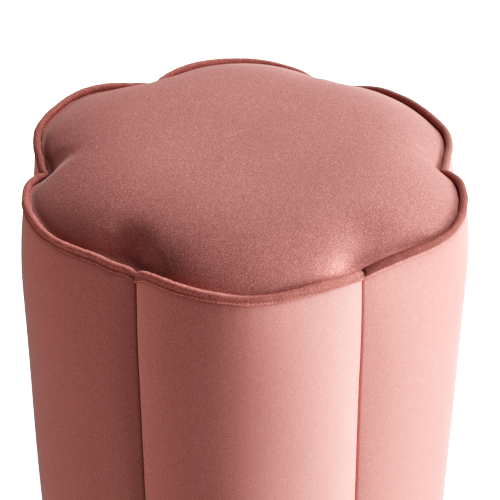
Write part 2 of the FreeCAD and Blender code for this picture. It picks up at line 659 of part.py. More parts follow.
for item in doc.Objects:
    if "Invalid" in item.State or "Error" in item.State:
        raise RuntimeError(f"{item.Label} failed to build: {item.State}")
for node in nodes:
    if node.Shape.isNull() or not node.Shape.isValid() or not node.Shape.Solids:
        raise RuntimeError(f"{node.Label} has no valid solid")

os.makedirs("parts", exist_ok=True)
for node in nodes:
    node.Shape.exportStep(f"parts/{node.Label}.step")
print(len(nodes), "nodes")
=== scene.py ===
import math
import bpy
import numpy as np
from mathutils import Matrix, Vector


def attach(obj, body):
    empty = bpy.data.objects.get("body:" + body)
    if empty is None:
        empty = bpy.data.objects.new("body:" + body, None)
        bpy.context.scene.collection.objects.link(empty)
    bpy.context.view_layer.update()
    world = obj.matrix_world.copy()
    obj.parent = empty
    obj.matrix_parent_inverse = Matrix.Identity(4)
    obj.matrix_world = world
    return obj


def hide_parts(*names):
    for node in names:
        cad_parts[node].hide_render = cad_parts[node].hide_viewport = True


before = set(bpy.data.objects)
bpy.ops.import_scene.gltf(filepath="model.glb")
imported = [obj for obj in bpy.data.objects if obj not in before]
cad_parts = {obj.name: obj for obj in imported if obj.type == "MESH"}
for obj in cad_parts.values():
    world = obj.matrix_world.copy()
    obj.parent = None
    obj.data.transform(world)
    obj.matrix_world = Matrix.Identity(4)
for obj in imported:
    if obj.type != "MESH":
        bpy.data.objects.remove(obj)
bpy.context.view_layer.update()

# Lengths below are in millimetres and angles in degrees until a mesh is made from them.
# The angle round the pouf starts at the front lobe's middle (-Y) and runs counterclockwise seen from above.
toMetres = 0.001
lobeCount, lobeTurn, halfLobe = 6, 60.0, 30.0


def linear(hexColour):  # an sRGB hex colour as a shader's linear numbers, by the sRGB standard's curve
    parts = [int(hexColour[i:i + 2], 16) / 255 for i in (1, 3, 5)]
    return [c / 12.92 if c <= 0.04045 else ((c + 0.055) / 1.055) ** 2.4 for c in parts] + [1.0]


def setInputs(tree, node, **inputs):
    # a node's links, values and hex colours; i0, i1 and so on are sockets by number, and _ is a space
    for name, value in inputs.items():
        byNumber = name[0] == "i" and name[1:].isdigit()
        socket = node.inputs[int(name[1:]) if byNumber else name.replace("_", " ")]
        if isinstance(value, bpy.types.NodeSocket):
            tree.links.new(value, socket)
        else:
            socket.default_value = linear(value) if isinstance(value, str) else value


def addNode(tree, kind, settings=None, **inputs):  # a new node with its settings and inputs
    node = tree.nodes.new(kind)
    for name, value in (settings or {}).items():
        setattr(node, name, value)
    setInputs(tree, node, **inputs)
    return node


def newMaterial(name):  # an empty material with its shader, and the object's own coordinates in metres
    material = bpy.data.materials.new(name)
    material.use_nodes = True
    tree = material.node_tree
    tree.nodes.clear()
    shader = addNode(tree, "ShaderNodeBsdfPrincipled")
    addNode(tree, "ShaderNodeOutputMaterial", Surface=shader.outputs["BSDF"])
    where = addNode(tree, "ShaderNodeTexCoord").outputs["Object"]
    return material, tree, shader, where


def noiseOf(tree, where, size, detail=2.0, roughness=0.55, stretch=(1, 1, 1)):
    # noise whose blobs are about `size` millimetres, drawn out along an axis where stretch is below 1
    moved = addNode(tree, "ShaderNodeMapping", Vector=where, Scale=stretch)
    return addNode(tree, "ShaderNodeTexNoise", Vector=moved.outputs["Vector"], Scale=1000 / size,
                   Detail=detail, Roughness=roughness).outputs["Fac"]


def between(tree, value, low, high, start=0.0, end=1.0):  # value from low..high onto start..end
    return addNode(tree, "ShaderNodeMapRange", Value=value, From_Min=low, From_Max=high, To_Min=start,
                   To_Max=end).outputs["Result"]


def mixed(tree, share, first, second):  # two colours mixed by a share
    return addNode(tree, "ShaderNodeMix", dict(data_type="RGBA"), i0=share, i6=first, i7=second).outputs[2]


def bumped(tree, shader, height, distance, strength):  # height in 0..1 as a bump of so many mm
    node = addNode(tree, "ShaderNodeBump", Height=height, Strength=strength, Distance=distance * toMetres)
    setInputs(tree, shader, Normal=node.outputs["Normal"])


def gridFaces(rows, columns, roundColumns, roundRows=False):  # quads of a grid, wrapped where it closes
    i = np.arange(rows if roundRows else rows - 1)[:, None]
    j = np.arange(columns if roundColumns else columns - 1)[None, :]
    nextI, nextJ = (i + 1) % rows, (j + 1) % columns
    quads = np.stack(np.broadcast_arrays(i * columns + j, i * columns + nextJ,
                                         nextI * columns + nextJ, nextI * columns + j), -1)
    return quads.reshape(-1, 4)


def addObject(name, data):
    made = bpy.data.objects.new(name, data)
    bpy.context.scene.collection.objects.link(made)
    return made


def makeMesh(name, points, faces, material):  # points in mm, faces as lists of corners
    mesh = bpy.data.meshes.new(name)
    mesh.from_pydata((np.asarray(points) * toMetres).tolist(), [], [list(map(int, f)) for f in faces])
    mesh.update()
    mesh.polygons.foreach_set("use_smooth", np.full(len(mesh.polygons), True))
    mesh.materials.append(material)
    piece = addObject(name, mesh)
    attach(piece, "root")
    return piece


def makeRings(name, rings, material, closed=True):
    # rings one after the other, each a row of points counterclockwise; a closed form ends in fans of
    # triangles round the middles of the first and the last ring
    rows, columns = rings.shape[:2]
    points, faces = rings.reshape(-1, 3), gridFaces(rows, columns, True).tolist()
    if closed:
        points = np.vstack([points, rings[0].mean(0), rings[-1].mean(0)])
        around, last, pole = np.arange(columns), (rows - 1) * columns, np.full(columns, rows * columns)
        ahead = (around + 1) % columns
        faces += np.stack([pole, ahead, around], 1).tolist()
        faces += np.stack([last + around, last + ahead, pole + 1], 1).tolist()
    return makeMesh(name, points, faces, material)


def makeSlab(name, outer, inner, material):
    # a solid between two grids of the same size that face each other; its four sides are closed with quads
    rows, columns = outer.shape[:2]
    count = rows * columns
    grid = gridFaces(rows, columns, False)
    faces = grid.tolist() + (grid[:, ::-1] + count).tolist()
    index = np.arange(count).reshape(rows, columns)
    for edge in (index[0, ::-1], index[-1], index[:, 0], index[::-1, -1]):
        a, b = edge[:-1], edge[1:]
        faces += np.stack([b, a, a + count, b + count], 1).tolist()
    return makeMesh(name, np.vstack([outer.reshape(-1, 3), inner.reshape(-1, 3)]), faces, material)


def addValues(piece, name, values):  # a number at each point, which a material reads
    attribute = piece.data.attributes.new(name, "FLOAT", "POINT")
    attribute.data.foreach_set("value", values.ravel().astype(np.float32))


def thicken(piece, thickness):  # gives a cloth its thickness, inwards
    solidify = piece.modifiers.new("thickness", "SOLIDIFY")
    solidify.thickness = thickness * toMetres
    solidify.offset = -1


# the outline that the welt, the seat and the sides share
outline = dict(
    lobeOffset=75.0,  # middle of the pouf to the axis of a lobe
    weltReach=125.0,  # axis of a lobe to the middle of the welt
    weltLevel=417.6,
    cornerSoftness=0.5,  # how wide a valley's corner is rounded over, in degrees
    wave=2.4,  # the welt rides up on the lobes and dips in the valleys by so much
    turned=0.9,  # the whole welt sits turned by so much along itself
    aroundRadius=200.0,  # millimetres along the edge in a radian, about
    perDegree=3.3,  # and in a degree
    crowding=0.15,  # share by which a mesh's columns crowd towards the valleys
    # hand-sewn unevenness: valley n lies between lobe n and the next, counterclockwise from the front lobe
    valleyOut=[2.4, -3, -2.4, -1.2, 0.6, -1.3],
    valleyUp=[-0.1, -1.6, -2.4, 1.6, -0.1, 2.6],
    valleyAlong=[1.8, -0.4, 2.7, -4.6, 0.8, -0.4],
    lobeOut=[0.2, 1, -0.9, -0.1, 3.8, 0.3],
    lobeUp=[-1.4, -1.1, -1.2, 0, 5, -1.2],
    lobeSkew=[-2.3, 5, 0.7, 2.9, -1.1, -4.1],
    # finer waves of the seam, every 6 degrees from the front: outwards and up
    fineOut=[0.8, 0.9, 0, -0.7, -0.6, 0.1, -1, -0.9, 0.4, 2.1, 2.2, -0.3, -1.9, -0.8, 1.2, -1.4, -2.2, 1,
             1.9, -0.3, -0.8, -0.2, 0.6, 1.3, 0.5, -0.5, -1.1, 0.5, 0.7, 0.6, 0.4, 0.5, 0.8, 1, 0.7, -0.2,
             0.2, 1.3, 1.5, 1, 0.4, 1.4, 3.1, 0.9, -2.4, -1.6, 1.3, 0.3, -0.7, -0.5, 0.7, 0.8, -0.1, -1.1,
             -0.8, 0.6, -1.5, -1.6, -1.1, -0.3],
    fineUp=[-1.1, -1.2, -0.1, 0.9, 0.7, -0.1, 1.2, 1, -0.4, -1.9, -1.7, 0.1, 0.1, -0.3, 1, -0.1, 0, 0.2, 0.8,
            -0.2, -0.9, -0.2, 1, 2.5, 0.9, -0.8, -1.7, 0.8, 1.1, 1.1, 0.7, 0.9, 1.5, 1.7, 1, -0.4, 0.4, 2.6,
            2.7, 1.5, 0.4, 0.9, 1.1, 0.1, 0.1, -1, 0.8, 0.1, 0.1, 0.2, -0.5, -0.8, 0.1, 0.2, -2, -0.6, 1.4,
            1.9, 1.4, 0.4],
    # each valley's corner is drawn in and down by the side seam, over a few millimetres
    tuckIn=[0.3, 2, 1.5, 1.5, 2.2, 0.8], tuckDown=[0.8, 0.3, 2.6, 2.6, 0.4, 3.4], tuckWidth=5.5,
)


def roundTable(values, angle):  # evenly spaced values round the pouf, joined by a smooth closed curve
    values = np.asarray(values, float)
    step = np.mod(angle, 360.0) * len(values) / 360.0
    here = np.floor(step).astype(int)
    t = step - here
    a, b, c, d = (values[(here + k) % len(values)] for k in (-1, 0, 1, 2))
    return b + 0.5 * t * (c - a + t * (2 * a - 5 * b + 4 * c - d + t * (3 * (b - c) + d - a)))


def lobeShare(angle):  # which lobe an angle is in, how far across it from -1 to 1, and its nearer valley
    lobe = np.round(angle / lobeTurn)
    across = (angle - lobeTurn * lobe) / halfLobe
    lobe = lobe.astype(int) % lobeCount
    return lobe, across, np.where(across < 0, (lobe - 1) % lobeCount, lobe)


def fromAngle(angles, at):  # how far an angle is from another, either way round
    return (angles - at + 180.0) % 360.0 - 180.0


def pick(group, names, index):  # the values of some tables at each point's lobe or valley
    return [np.asarray(group[name], float)[index] for name in names]


def reach(angle, radius, softness):
    # distance from the middle to the outline: each lobe is a circle about its own axis, and the corner
    # where two circles meet is rounded over the softness in degrees
    across = lobeShare(angle)[1]
    fromValley = halfLobe * (1.0 - np.abs(across))
    rounded = np.sqrt(fromValley ** 2 + softness ** 2) + halfLobe - np.sqrt(halfLobe ** 2 + softness ** 2)
    turn = np.radians(halfLobe - rounded)
    offset = outline["lobeOffset"]
    return offset * np.cos(turn) + np.sqrt(radius ** 2 - (offset * np.sin(turn)) ** 2)


def unevenness(angle, fine=1.0, tuck=1.0):
    # how far the sewn edge is off the even outline: outwards and up in mm, and along it in degrees. A
    # squared cosine across each lobe blends its own values with its valleys', a sine skews it, and finer
    # waves and the tucks at the corners are added, of which fine and tuck are the shares that are felt
    lobe, across, valley = lobeShare(angle)
    middle = np.cos(np.pi * across / 2) ** 2
    lobeOut, lobeUp, lobeSkew = pick(outline, ("lobeOut", "lobeUp", "lobeSkew"), lobe)
    valleyOut, valleyUp, valleyAlong, tuckIn, tuckDown = pick(
        outline, ("valleyOut", "valleyUp", "valleyAlong", "tuckIn", "tuckDown"), valley)
    out = (1 - middle) * valleyOut + middle * lobeOut
    out = out + lobeSkew * np.sin(np.pi * across) + fine * roundTable(outline["fineOut"], angle)
    up = (1 - middle) * valleyUp + middle * lobeUp
    up = up + outline["wave"] * np.cos(np.pi * across) + fine * roundTable(outline["fineUp"], angle)
    fromCorner = halfLobe * (1 - np.abs(across)) * outline["perDegree"]
    corner = tuck * np.exp(-(fromCorner / outline["tuckWidth"]) ** 2)
    along = (1 - middle) * valleyAlong + outline["turned"]
    return out - corner * tuckIn, up - corner * tuckDown, np.degrees(along / outline["aroundRadius"])


def place(angle, distance, height):  # polar to XYZ, with the angle counted from the front lobe
    turn = np.radians(angle - 90.0)
    return np.stack([distance * np.cos(turn), distance * np.sin(turn), height + 0 * turn], -1)


def columnsRound(count):  # angles once round, closer together in the valleys than on the lobes by a sine
    even = (np.arange(count) + 0.5) * 360.0 / count
    return even + halfLobe * outline["crowding"] * np.sin(2 * np.pi * even / lobeTurn)


# velvet: these values are the seat's, and the sides' and the welt's start from them
velvetLook = dict(
    deep="#6c2d27",  # between the pile's tips
    light="#a7625d",  # the tips
    crushed="#95504b",  # where the pile lies over in soft patches
    crushedShare=0.16,
    patch=38.0, patchEdges=(0.42, 0.7),
    grain=0.97,  # tufts of pile, deep at their middles and light where their tips lean together
    # deep turns into light at this share of a tuft's width from its middle, over this much to either side
    tuftEdge=0.53, contrast=0.3,
    sheen=0.3, sheenRoughness=0.3, sheenTint="#f0c5bd", specular=0.2,
    fibres=0.5, fibreHeight=0.15,
    shadeAndHighlightTint="#80564f",  # painted shade: where the mesh says, the colour is mixed towards this greyer brown, the colour of shade at the seat's rim and on the welt's shaded run
)


def velvetMaterial(name, look):
    # cut-pile polyester velvet, woven and brushed: deep colour between the tufts, a pale bloom where it
    # turns away, soft patches where the pile lies over, and a fine bump of fibres
    material, tree, shader, where = newMaterial(name)
    cells = addNode(tree, "ShaderNodeTexVoronoi", Vector=where, Scale=1000 / look["grain"])
    patch = noiseOf(tree, where, look["patch"], detail=3.0, roughness=0.5)
    low, high = look["tuftEdge"] - look["contrast"], look["tuftEdge"] + look["contrast"]
    tufts = mixed(tree, between(tree, cells.outputs["Distance"], low, high), look["deep"], look["light"])
    patches = between(tree, patch, *look["patchEdges"], 0.0, look["crushedShare"])
    colour = mixed(tree, patches, tufts, look["crushed"])
    # the mesh's values scale the colour, by the welt's nap and by painted light and shade, and mix in the
    # look's tint, which is painted shade on the seat and welt and a painted highlight on the sides
    napAndPaintedLightShare, flat = (addNode(tree, "ShaderNodeAttribute", dict(attribute_name=name)).outputs["Fac"]
                   for name in ("napAndPaintedLight", "shadeAndHighlightTint"))
    colour = addNode(tree, "ShaderNodeVectorMath", dict(operation="SCALE"), i0=colour, Scale=napAndPaintedLightShare).outputs[0]
    setInputs(tree, shader, Base_Color=mixed(tree, flat, colour, look["shadeAndHighlightTint"]), Roughness=0.92,
              Sheen_Weight=look["sheen"], Sheen_Roughness=look["sheenRoughness"],
              Sheen_Tint=look["sheenTint"], Specular_IOR_Level=look["specular"])
    bumped(tree, shader, noiseOf(tree, where, look["fibres"], roughness=0.6), look["fibreHeight"], 0.4)
    return material


velvet = velvetMaterial("cutPileVelvet", velvetLook)
# on the sides the pile is brushed downwards, and shows its paler flanks and less grain; where the mesh says,
# this pale colour is mixed in as a painted highlight
sideVelvet = velvetMaterial("brushedVelvet", dict(
    velvetLook, deep="#b15c55", light="#d27e76", crushed="#c0685f", crushedShare=0.08, contrast=0.36,
    sheen=0.83, sheenTint="#ffeeea", shadeAndHighlightTint="#e3b9b1"))
# the welt's strip is cut on the bias, stretched round its cord and rubbed, so its pile hardly shines
weltVelvet = velvetMaterial("biasCutVelvet", dict(
    velvetLook, deep="#85403a", light="#be6e65", patch=11.0, sheen=0.0, specular=0.0))


def twoTone(name, first, second, size, roughness, bump, specular=0.3, strength=0.6, edges=(0.35, 0.65),
            detail=4.0, fineness=0.65, stretch=(1, 1, 1)):
    # fibres, cells or wood grain: two near colours in noise of a size in mm, which also raises the surface
    material, tree, shader, where = newMaterial(name)
    grain = noiseOf(tree, where, size, detail, fineness, stretch)
    colour = mixed(tree, between(tree, grain, *edges), first, second)
    setInputs(tree, shader, Base_Color=colour, Roughness=roughness, Specular_IOR_Level=specular)
    bumped(tree, shader, grain, bump, strength)
    return material


cottonCord = twoTone("twistedCotton", "#e2d9c4", "#c9bda2", 0.8, 0.9, 0.2)         # raw yarn: dull fibres
foamRubber = twoTone("polyurethaneFoam", "#efe3b8", "#dccb96", 1.6, 0.95, 0.4)     # blown: open cells
fibreWadding = twoTone("polyesterWadding", "#f4f4f1", "#e2e2df", 5.0, 0.95, 1.2)   # carded and fluffy
dustCloth = twoTone("spunbondSheet", "#101012", "#1c1c1f", 1.4, 0.8, 0.12)         # pressed fibres
sewingThread = twoTone("polyesterThread", "#b77a70", "#95564e", 0.7, 0.6, 0.08)    # spun and waxed
print("outline and cloth ready")

# the seat: foam, wadding and cover
seat = dict(
    rimRadius=121.1, rimLevel=415.2, rise=35.0,
    rimReach=185.0,  # from the middle to the rim, about
    rimArc=170.0,  # millimetres of the rim in a radian, about
    fullness=5.3,  # the height falls off by this power of the share
    # the valleys open out towards the middle, by a power of the way in
    rimSoftness=0.6, middleSoftness=60.0, openingPower=1.15,
    # the edge's unevenness dies away inwards by powers of the share, its finer waves and tucks by theirs
    edgePower=7, finePower=5, tuckPower=9, tuckShare=0.4,
    coverThickness=1.2, gap=0.3, wadding=7.0,
    plinthRadius=118.5, plinthDrop=6.0, frameTop=400.1, cornerSoftness=0.3,
    columns=600, topRings=104, underRings=22, innerColumns=300, innerRings=40,
    # creases that run in from the valleys: depth in mm (below zero a ridge), length and the widths at the
    # outer end, clockwise and counterclockwise of the valley; they begin inside the rim and narrow inwards
    creaseStart=3.0, creaseNarrowing=0.45,
    creaseDepth=[13.5, 3.2, -3, -3, 4.2, 16.5],
    creaseLength=[24, 30, 30, 30, 32, 23],
    creaseBefore=[56, 20, 28, 28, 34, 54],
    creaseAfter=[74, 20, 28, 28, 34, 51],
    # mm that a crease lies counterclockwise of its valley at the rim, and turns for each mm inwards
    creaseShift=[23, 0, 0, 0, 0, -9], creaseBend=[-0.15, 0, 0, 0, 0, -0.3],
    # small pleats fan out from a deep crease: height in mm, pitch and half width of the fan in degrees, and
    # where they are highest and how far they reach, in mm inside the rim
    pleats=0.12, pleatPitch=9.0, pleatFan=50.0, pleatMiddle=14.0, pleatReach=12.0,
    # the edge rolls down behind the welt, or bulges over it below zero: mm every 30 degrees from the front
    shoulder=[2.2, -1.6, -1.5, -1.2, 0.6, 1.8, 2.2, 2.2, 2.2, 2.2, 2.2, 2.2],
    shoulderLength=7.0, shoulderStart=1.5,
    # share of a painted shade colour at the rim, most on the side away from the lights, every 30 degrees from
    # the front, and the mm over which it fades
    rimShadeTint=[0.35, 0, 0, 0.1, 0.3, 0.3, 0.3, 0.3, 0.5, 0.75, 0.85, 0.7], rimShadeTintDepth=7.5,
    # painted light and shade: soft patches that lighten or darken the seat where its slopes catch or miss the
    # light: angle, mm inside the rim, width along the rim and inwards in mm, and share added
    paintedLightPatches=[(25.2, 1, 19, 13.5, 1.5), (42.5, 4, 10, 10, 0.36), (42, 32, 20, 20, -0.2),
             (20, 45, 32, 32, -0.14), (338.5, 8, 15, 15, -0.38), (350, 14, 18, 18, 0.2),
             (317, 15, 14, 12, 0.38)],
)
seatAngles = columnsRound(seat["columns"])


def seatRings(layer, shares, angles):
    # rings of the crown, a layer's depth under the velvet's face: the outline shrinks with the share and its
    # valleys open out, the height falls short of the top by a power of the share, and creases and a rolled
    # edge are taken off
    share, angle = shares[:, None], angles[None, :]
    tuck = seat["tuckShare"] * share ** seat["tuckPower"]
    out, up, turned = unevenness(angle, share ** seat["finePower"], tuck)
    edge = share ** seat["edgePower"]
    opened = (1 - share) ** seat["openingPower"]
    softness = seat["rimSoftness"] + (seat["middleSoftness"] - seat["rimSoftness"]) * opened
    radius = seat["rimRadius"] - layer
    distance = share * (reach(angle, radius, softness) + out * edge)
    height = seat["rimLevel"] + up * edge + (seat["rise"] - layer) * (1 - share ** seat["fullness"])
    inside = (1 - share) * seat["rimReach"]

    # a crease is a Gaussian along its line and an S-shaped fall to either side, and none is left at the
    # middle of a lobe; it stays shallower than most of the crown's rise there, and the deep ones have pleats
    lobe, across, valley = lobeShare(angle)
    depth, length, before, after, shift, bend = pick(seat, (
        "creaseDepth", "creaseLength", "creaseBefore", "creaseAfter", "creaseShift", "creaseBend"), valley)
    fromValley = distance * np.sin(np.radians(fromAngle(angle, lobeTurn * valley + halfLobe)))
    fromCrease = fromValley - shift - bend * inside
    width = np.where(fromCrease < 0, before, after)
    width = width * (1 - seat["creaseNarrowing"] * np.clip(inside / length, 0, 1))
    hollow = np.exp(-(inside / length) ** 2) * (1 - np.exp(-inside / seat["creaseStart"]))
    apart = np.clip(np.abs(fromCrease) / width, 0, 1)
    crease = depth * hollow * (1 - apart ** 2 * (3 - 2 * apart))
    crease = crease * np.clip(np.abs(across) * 4.0 - 0.1, 0, 1) ** 2
    risen = 0.8 * seat["rise"] * (1 - share ** seat["fullness"]) + 0.02
    crease = np.where(crease > 0, crease * risen / (np.abs(crease) ** 3 + risen ** 3) ** (1 / 3), crease)
    fan = np.degrees(np.arctan2(fromCrease, inside + 5.0))
    pleat = seat["pleats"] * np.clip(depth, 0, 6) / 6
    pleat = pleat * np.exp(-((inside - seat["pleatMiddle"]) / seat["pleatReach"]) ** 2)
    pleat = pleat * np.sin(2 * np.pi * fan / seat["pleatPitch"])
    crease = crease + pleat * np.exp(-(fan / seat["pleatFan"]) ** 2)

    # the edge rolls down over a short way, and the whole crown has shallow lumps of sines
    roll = np.exp(-inside / seat["shoulderLength"]) * (1 - np.exp(-inside / seat["shoulderStart"]))
    roll = roundTable(seat["shoulder"], angle) * roll
    east, north = distance * np.sin(np.radians(angle)), -distance * np.cos(np.radians(angle))
    lumps = 0.45 * np.sin(east / 31 + 1.3) * np.sin(north / 27 + 0.4) + 0.3 * np.sin(east / 17 - north / 23)
    height = height - crease - roll + lumps * (1 - share ** 3)
    return place(angle + turned * edge, distance, height)


def ringShares(count):  # close together at the rim, where the form turns, and at the middle none of size zero
    step = np.linspace(0, 1, count)
    return 1 - (0.995 * step - 0.1 * np.sin(2 * np.pi * step) / (2 * np.pi) * 3.4)


topShares = ringShares(seat["topRings"])
underShares = np.linspace(0.01, 1, seat["underRings"])
coverDepth = seat["coverThickness"] + seat["gap"]
foamDepth = coverDepth + seat["wadding"]
innerAngles, innerShares = columnsRound(seat["innerColumns"]), ringShares(seat["innerRings"])

# each layer is its underside from the middle out and then its top from the rim in; the foam stands on the
# seat board with a flat underside and an upright wall
wall = reach(innerAngles, seat["plinthRadius"], seat["cornerSoftness"])
plinth = [place(innerAngles, wall * share, seat["frameTop"]) for share in (0.05, 0.5, 1.0)]
plinth += [place(innerAngles, wall, seat["rimLevel"] - seat["plinthDrop"])]
foamTop = seatRings(foamDepth + seat["gap"], innerShares, innerAngles)
seatFoam = makeRings("seatFoam", np.concatenate([plinth, foamTop]), foamRubber)
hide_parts("seat_foam")
seatWadding = makeRings("seatWadding", np.concatenate([
    seatRings(foamDepth, underShares, innerAngles), seatRings(coverDepth, innerShares, innerAngles)]),
    fibreWadding)
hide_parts("seat_wadding")
seatCover = makeRings("seatCover", np.concatenate([
    seatRings(seat["coverThickness"], underShares, seatAngles), seatRings(0.0, topShares, seatAngles)]),
    velvet)
fromRim = np.concatenate([1 - underShares, 1 - topShares])[:, None] * seat["rimReach"]
# painted shade colour along the seat's rim
rimShadeTintShare = roundTable(seat["rimShadeTint"], seatAngles)[None, :] * np.exp(-fromRim / seat["rimShadeTintDepth"])
addValues(seatCover, "shadeAndHighlightTint", np.append(rimShadeTintShare, [0, 0]))
# painted light and shade in patches across the seat
paintedLightPatches = 1.0
for at, inside, widthAlong, widthInwards, added in seat["paintedLightPatches"]:
    alongRim = np.radians(fromAngle(seatAngles, at))[None, :] * seat["rimArc"] / widthAlong
    inwards = (fromRim - inside) / widthInwards
    paintedLightPatches = paintedLightPatches + added * np.exp(-alongRim ** 2 - inwards ** 2)
addValues(seatCover, "napAndPaintedLight", np.append(paintedLightPatches, [1, 1]))
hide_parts("seat_cover")
print("seat done")

# the welt: cord, wrapped strip and its stitches
welt = dict(
    columns=1800, cordColumns=900, cordSides=18, lineSteps=3600,
    tailRows=2, lipRows=9, ringRows=25,
    # radius of the strip's roll every 15 degrees from the front: the cord is gripped looser or tighter
    ringRadius=[2.8, 3.4, 3.5, 3.8, 3, 3.9, 3.7, 3.6, 3.5, 3.5, 3.4, 3.3, 3.2, 3.4, 3.4, 3.4, 3.3, 3.6, 3.6,
                3.4, 3, 3.1, 3.1, 3.3],
    ringLift=0.55,  # the roll sits a little above the seam
    lipOut=2.4, lipDrop=-3.4, lipRadius=0.8,
    usualRadius=3.4, lipFollow=0.7,  # under a roll thinner than usual the lip sits higher by this share of it
    stitchPitch=3.2, scallop=0.25,
    tailLength=6.0, clothThickness=0.5,
    cordShare=0.62, cordTwist=14.0,  # the cord in the roll, and one turn of its strand
    # places where the strip is pinched: angle, width in mm, share taken off
    pinches=[(330, 2.6, 0.36), (30.2, 1.3, 0.3), (62.7, 0.8, 0.13), (69, 0.8, 0.1), (51.4, 0.7, 0.06),
             (90.3, 2, 0.25), (150.2, 2, 0.2), (209, 2, 0.2), (270.4, 2.2, 0.25)],
    # bias wrinkles: angle, width in degrees, pitch in mm, height in mm
    wrinkles=[(117, 5, 5.5, 0.22), (226, 11, 4.2, 0.2), (253, 6, 5, 0.12), (340, 9, 6, 0.1),
              (68, 5, 4.6, 0.14), (97, 7, 5.6, 0.16)],
    loops=[(331, 6, 2.8)],  # where the lip hangs lower: angle, width and drop in mm
    # angle and share by which the colour is scaled, for the roll and for the lip: on the roll partly the
    # bias-cut pile's nap and partly painted light and shade, on the lip painted light and shade
    rollNapAndPaintedLight=[(0, 0.85), (6, 0.76), (14, 0.72), (28, 0.88), (30.6, 0.24), (38, 0.28), (46, 0.34), (58, 0.42),
             (66, 0.4), (74, 0.38), (79, 0.4), (84, 0.45), (90, 0.45), (96, 0.42), (104, 0.6), (110, 0.65),
             (116, 0.65), (122, 0.6), (145, 0.5), (157, 0.8), (205, 0.8), (216, 0.85), (228, 0.7),
             (248, 0.62), (262, 0.6), (269, 0.6), (272, 0.7), (280, 0.8), (290, 0.95), (300, 1.15),
             (312, 1.35), (325, 1.35), (332, 1.2), (345, 1.35), (354, 1.3)],
    lipPaintedLight=[(0, 1.6), (8, 1), (28, 0.9), (33, 1.6), (60, 1.6), (70, 0.5), (84, 0.8), (110, 0.8), (160, 0.8),
            (260, 1), (272, 1.2), (290, 1.4), (315, 1.8), (328, 2.2), (345, 2.3), (354, 2)],
    # painted shade in the groove between roll and lip: the share that is left there
    groovePaintedShade=[(0, 1), (25, 0.9), (35, 1), (265, 1), (280, 0.6), (345, 0.55), (352, 0.9)],
    # share of a painted shade colour, greyer brown, on the run that lies in shade
    weltPaintedShadeTint=[(0, 0), (66, 0), (80, 0.15), (98, 0.5), (150, 0.5), (162, 0)],
    # how much farther than usual the lip stands out, in mm by angle
    lipReach=[(0, 0.8), (12, 0.2), (28, 0.2), (33, 0.8), (60, 0.8), (70, 0), (265, 0), (280, 0.6),
              (310, 1.2), (350, 1.2)],
    # stitches lie in that groove, at shares of the roll's radius outwards and down, and their ends sink in
    threadRadius=0.28, threadLength=2.1, threadOut=0.74, threadDown=0.72, threadSink=0.35,
    threadStations=7, threadSides=6,
)


def weltLine(count):  # the welt's middle line, evenly spaced, with its outward direction
    angle = columnsRound(welt["lineSteps"])
    out, up, turned = unevenness(angle)
    distance = reach(angle, outline["weltReach"], outline["cornerSoftness"]) + out
    line = place(angle + turned, distance, outline["weltLevel"] + up)
    closed = np.vstack([line, line[:1]])
    travelled = np.append(0, np.cumsum(np.linalg.norm(np.diff(closed, axis=0), axis=1)))
    wanted = np.arange(count) * travelled[-1] / count
    points = np.stack([np.interp(wanted, travelled, closed[:, i]) for i in range(3)], 1)
    angles = np.interp(wanted, travelled, np.append(angle, angle[0] + 360.0))
    along = np.roll(points, -1, 0) - np.roll(points, 1, 0)
    outwards = np.stack([along[:, 1], -along[:, 0], 0 * along[:, 0]], 1)
    outwards /= np.linalg.norm(outwards, axis=1)[:, None]
    return points, outwards, angles, wanted, travelled[-1]


def carry(points, outwards, across, up):  # a profile (rows) set across the line (columns)
    lifted = np.stack([0 * up, 0 * up, up], -1)
    return points[None] + outwards[None] * across[..., None] + lifted


weltPoints, weltOutwards, weltAngles, weltTravel, weltLength = weltLine(welt["columns"])


def hump(angles, at, width):  # 1 at an angle and a Gaussian's fall round it, over a width in mm
    return np.exp(-(fromAngle(angles, at) * outline["perDegree"] / width) ** 2)


def gripOf(angles):  # radius of the roll at an angle, and the share of it that a pinch leaves
    share = np.ones_like(angles)
    for at, width, taken in welt["pinches"]:
        share -= taken * hump(angles, at, width)
    return roundTable(welt["ringRadius"], angles), share


weltRadius, weltShare = gripOf(weltAngles)
# small waves along the welt: of the roll's radius, of the lip where stitches pull it, and of its reach
wobble = 1 + 0.02 * np.sin(weltTravel / 9.0 + 0.5) + 0.02 * np.sin(weltTravel / 4.1)
wobble = wobble + 0.012 * np.sin(weltTravel / 1.9)
stitchWave = np.abs(np.sin(np.pi * weltTravel / welt["stitchPitch"]))
lipWave = 0.25 * np.sin(weltTravel / 11.0) + 0.2 * np.sin(weltTravel / 5.3 + 1.0)
lipLoop = sum(drop * hump(weltAngles, at, width) for at, width, drop in welt["loops"])


def byAngle(name):  # a table of the welt, read at each of its columns
    at, values = np.asarray(welt[name], float).T
    return np.interp(weltAngles % 360.0, at, values, period=360.0)


